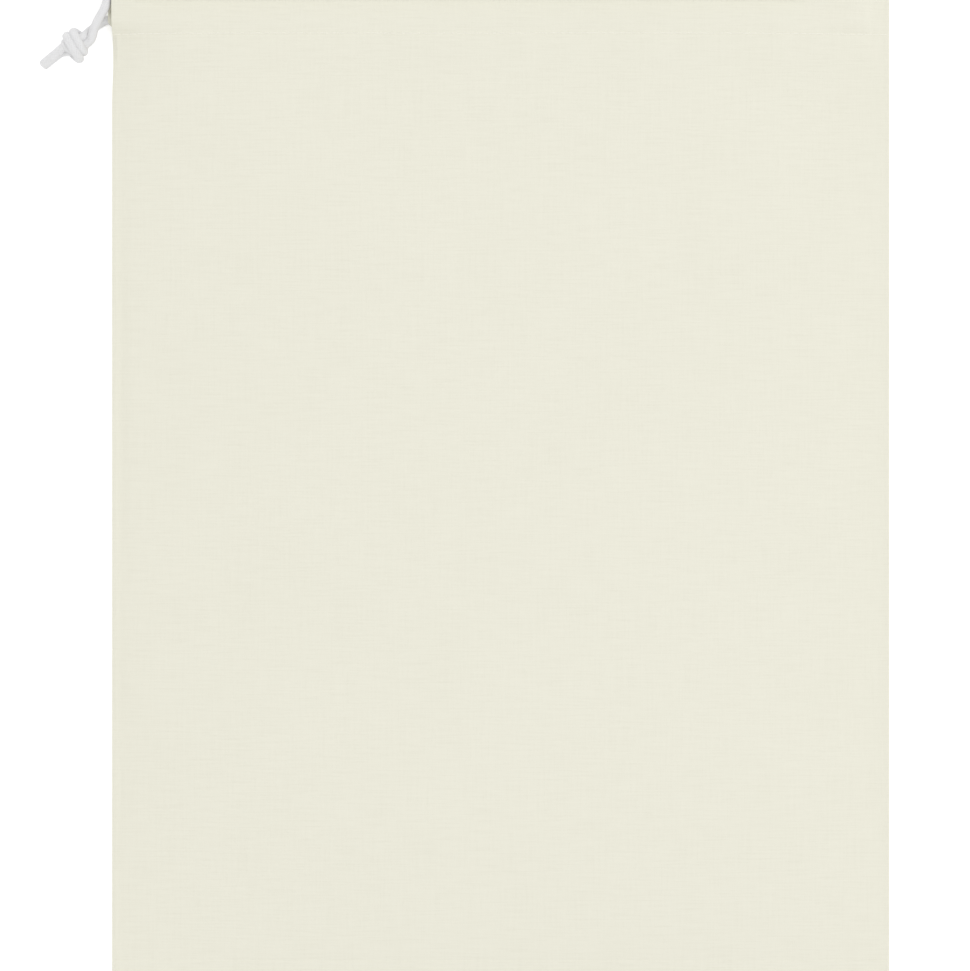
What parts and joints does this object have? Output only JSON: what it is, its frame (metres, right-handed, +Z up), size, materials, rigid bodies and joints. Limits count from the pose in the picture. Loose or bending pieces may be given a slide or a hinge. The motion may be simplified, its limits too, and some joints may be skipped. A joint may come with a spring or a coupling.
{
  "type": "cotton gift bag",
  "caption": "Flat rectangular cotton bag lying on its back, with a stitched cord casing along its mouth and a round drawcord that leaves at one side, twisted and tied in a knot.",
  "frame": {"origin": "on the surface the bag lies on, under the middle of the bag", "axes": "+Y from the bottom seam to the mouth, +X across the bag away from the cord's side, +Z up through the cloth"},
  "size_m": [0.328, 0.4, 0.0187],
  "materials": {
    "cotton_cloth": "matte plain-weave unbleached cotton",
    "cotton_cord": "matte braided cotton"
  },
  "bodies": {
    "root": {"back_panel": "cotton_cloth", "front_panel": "cotton_cloth", "casing_cord": "cotton_cord", "front_strand": "cotton_cord", "back_strand": "cotton_cord", "knot": "cotton_cord", "front_tail": "cotton_cord", "back_tail": "cotton_cord"}
  },
  "joints": []
}
